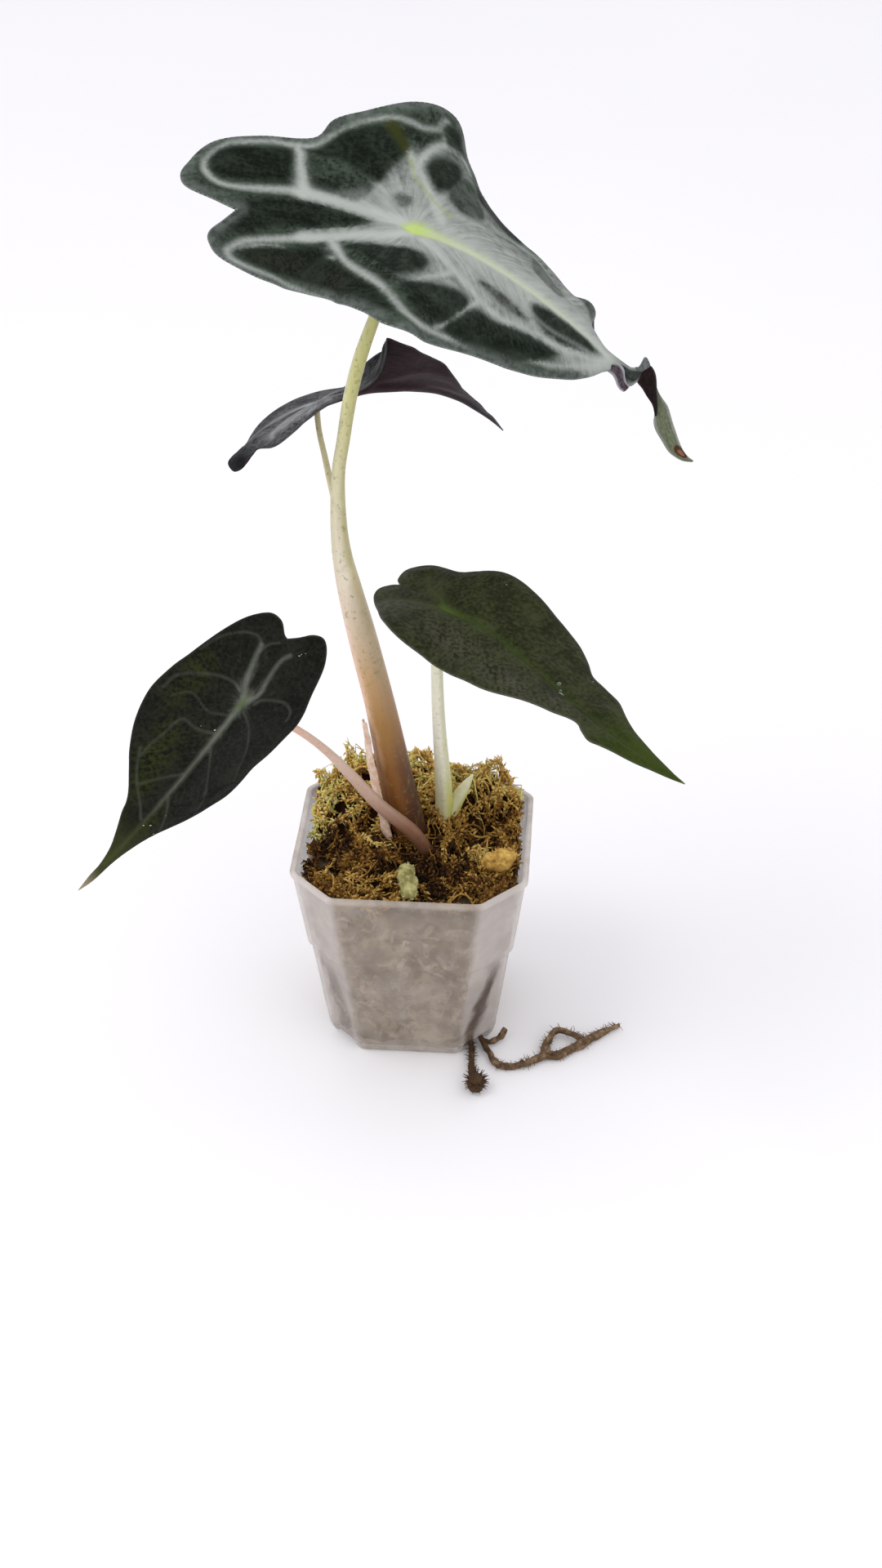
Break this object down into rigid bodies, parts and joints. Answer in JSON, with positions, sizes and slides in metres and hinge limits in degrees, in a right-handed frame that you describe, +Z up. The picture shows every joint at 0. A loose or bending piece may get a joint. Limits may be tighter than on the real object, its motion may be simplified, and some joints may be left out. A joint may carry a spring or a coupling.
{
  "type": "potted alocasia plant",
  "caption": "Young alocasia with arrow-shaped dark leaves and pale veins on tall stems, growing in moss in a clear square nursery pot, with roots trailing from its foot.",
  "frame": {"origin": "centre of the underside of the pot's foot", "axes": "+Z up along the plant; -Y towards the front, where the lower leaves lean; +X to the right"},
  "size_m": [0.1295, 0.1272, 0.2317],
  "materials": {
    "clear_pot": "satin",
    "moss": "matte",
    "loose_moss": "matte",
    "rhizome": "matte",
    "root": "matte",
    "stem": "satin",
    "dry_scale": "matte",
    "leaf": "satin"
  },
  "bodies": {
    "root": {"pot": "clear_pot", "moss": "moss", "rhizome": "rhizome", "root_short": "root", "root_trailing": "root", "petiole_top": "stem", "petiole_back": "stem", "petiole_left": "stem", "petiole_right": "stem", "cataphyll": "dry_scale", "moss_chunk": "loose_moss", "moss_sprig": "loose_moss", "blade_top": "leaf", "blade_back": "leaf", "blade_left": "leaf", "blade_right": "leaf"}
  },
  "joints": []
}
